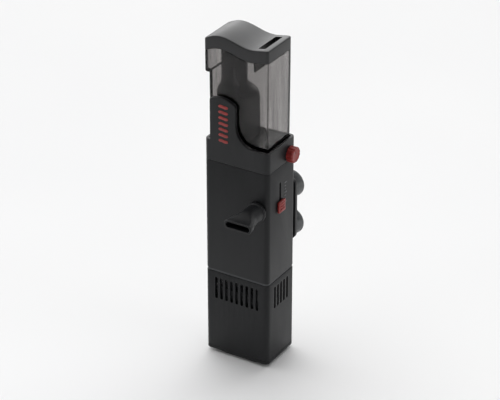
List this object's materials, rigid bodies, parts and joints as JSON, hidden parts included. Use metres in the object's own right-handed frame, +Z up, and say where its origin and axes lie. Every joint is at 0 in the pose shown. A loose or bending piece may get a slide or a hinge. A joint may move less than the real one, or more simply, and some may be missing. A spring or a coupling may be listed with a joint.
{
  "type": "in-tank protein skimmer",
  "caption": "pump-driven aquarium protein skimmer, a tall black column with a smoky foam cup, wavy vented lid, front tongue, swivel outlet and suction holder",
  "frame": {"origin": "on the floor, at the middle of the column's rubber base pad", "axes": "+Z up along the column; front, with the tongue and the outlet, towards -Y; +X is the right side, with the air valve's knob"},
  "size_m": [0.0691, 0.093, 0.2967],
  "materials": {
    "smoky_plastic": "smoke-tinted clear styrene, glossy, thin walls",
    "black_satin": "satin black moulded ABS with a very fine grain",
    "black_gloss": "glossy near-black moulding",
    "grey_inner": "dark grey moulding, wet side",
    "red_mark": "red, semi-gloss",
    "white_plastic": "natural white moulding",
    "needle_plastic": "pale moulded needle wheel",
    "black_rubber": "black rubber",
    "smoke_rubber": "smoke-grey soft vinyl",
    "silicone": "pale silicone",
    "steel": "stainless, machined",
    "laminations": "stacked electrical steel",
    "copper_wire": "enamelled copper wire",
    "ferrite": "plastic-bonded ferrite, dark grey",
    "ceramic": "polished white ceramic"
  },
  "bodies": {
    "column": {"upper_housing": "black_satin", "badge": "red_mark", "column_casing": "black_satin", "chamber_body": "grey_inner", "bubble_plate": "white_plastic", "plenum_tray": "grey_inner", "outlet_spout": "black_satin", "pump_casing": "black_satin", "base_plate": "black_satin", "base_pad": "black_rubber", "casing_screws": "steel", "motor_can": "black_gloss", "motor_end_plate": "black_gloss", "stator_core": "laminations", "coil_bobbin": "white_plastic", "coil_winding": "copper_wire", "rotor_shaft": "ceramic", "front_bush": "black_rubber", "rear_bush": "black_rubber", "volute_housing": "grey_inner", "volute_o_ring": "black_rubber", "volute_cover": "grey_inner", "volute_screws": "steel", "delivery_elbow": "grey_inner", "damper_pads": "black_rubber", "cable_gland": "black_rubber", "air_valve_body": "grey_inner", "air_hose": "silicone"},
    "cup": {"cup_shell": "smoky_plastic", "riser_tube": "black_gloss", "cup_seal": "silicone"},
    "lid": {"cup_lid": "black_satin", "lid_seal": "silicone"},
    "rotor": {"rotor_magnet": "ferrite", "impeller": "needle_plastic"},
    "valve_knob": {"air_valve_knob": "red_mark", "valve_o_ring": "black_rubber"},
    "gate": {"level_gate": "red_mark"},
    "nozzle": {"flow_nozzle": "black_satin"},
    "holder": {"holder_bracket": "black_satin", "suction_cups": "smoke_rubber"}
  },
  "joints": [
    {"name": "cup_lift", "type": "slide", "parent": "column", "child": "cup", "axis": [0, 0, 1], "range_m": [0, 0.055]},
    {"name": "lid_lift", "type": "slide", "parent": "cup", "child": "lid", "axis": [0, 0, 1], "range_m": [0, 0.035]},
    {"name": "rotor_spin", "type": "hinge", "parent": "column", "child": "rotor", "pos_m": [-0.008, 0, 0.04], "axis": [0, 0, 1], "continuous": true},
    {"name": "air_valve_turn", "type": "hinge", "parent": "column", "child": "valve_knob", "pos_m": [0.03, 0.012, 0.191], "axis": [1, 0, 0], "range_deg": [0, 270]},
    {"name": "level_gate_slide", "type": "slide", "parent": "column", "child": "gate", "axis": [0, 0, 1], "range_m": [0, 0.018]},
    {"name": "nozzle_swivel", "type": "hinge", "parent": "column", "child": "nozzle", "pos_m": [0.0207, -0.03, 0.15], "axis": [0, -1, 0], "range_deg": [-90, 90]},
    {"name": "holder_slide", "type": "slide", "parent": "column", "child": "holder", "axis": [0, 0, 1], "range_m": [-0.015, 0.02]}
  ]
}
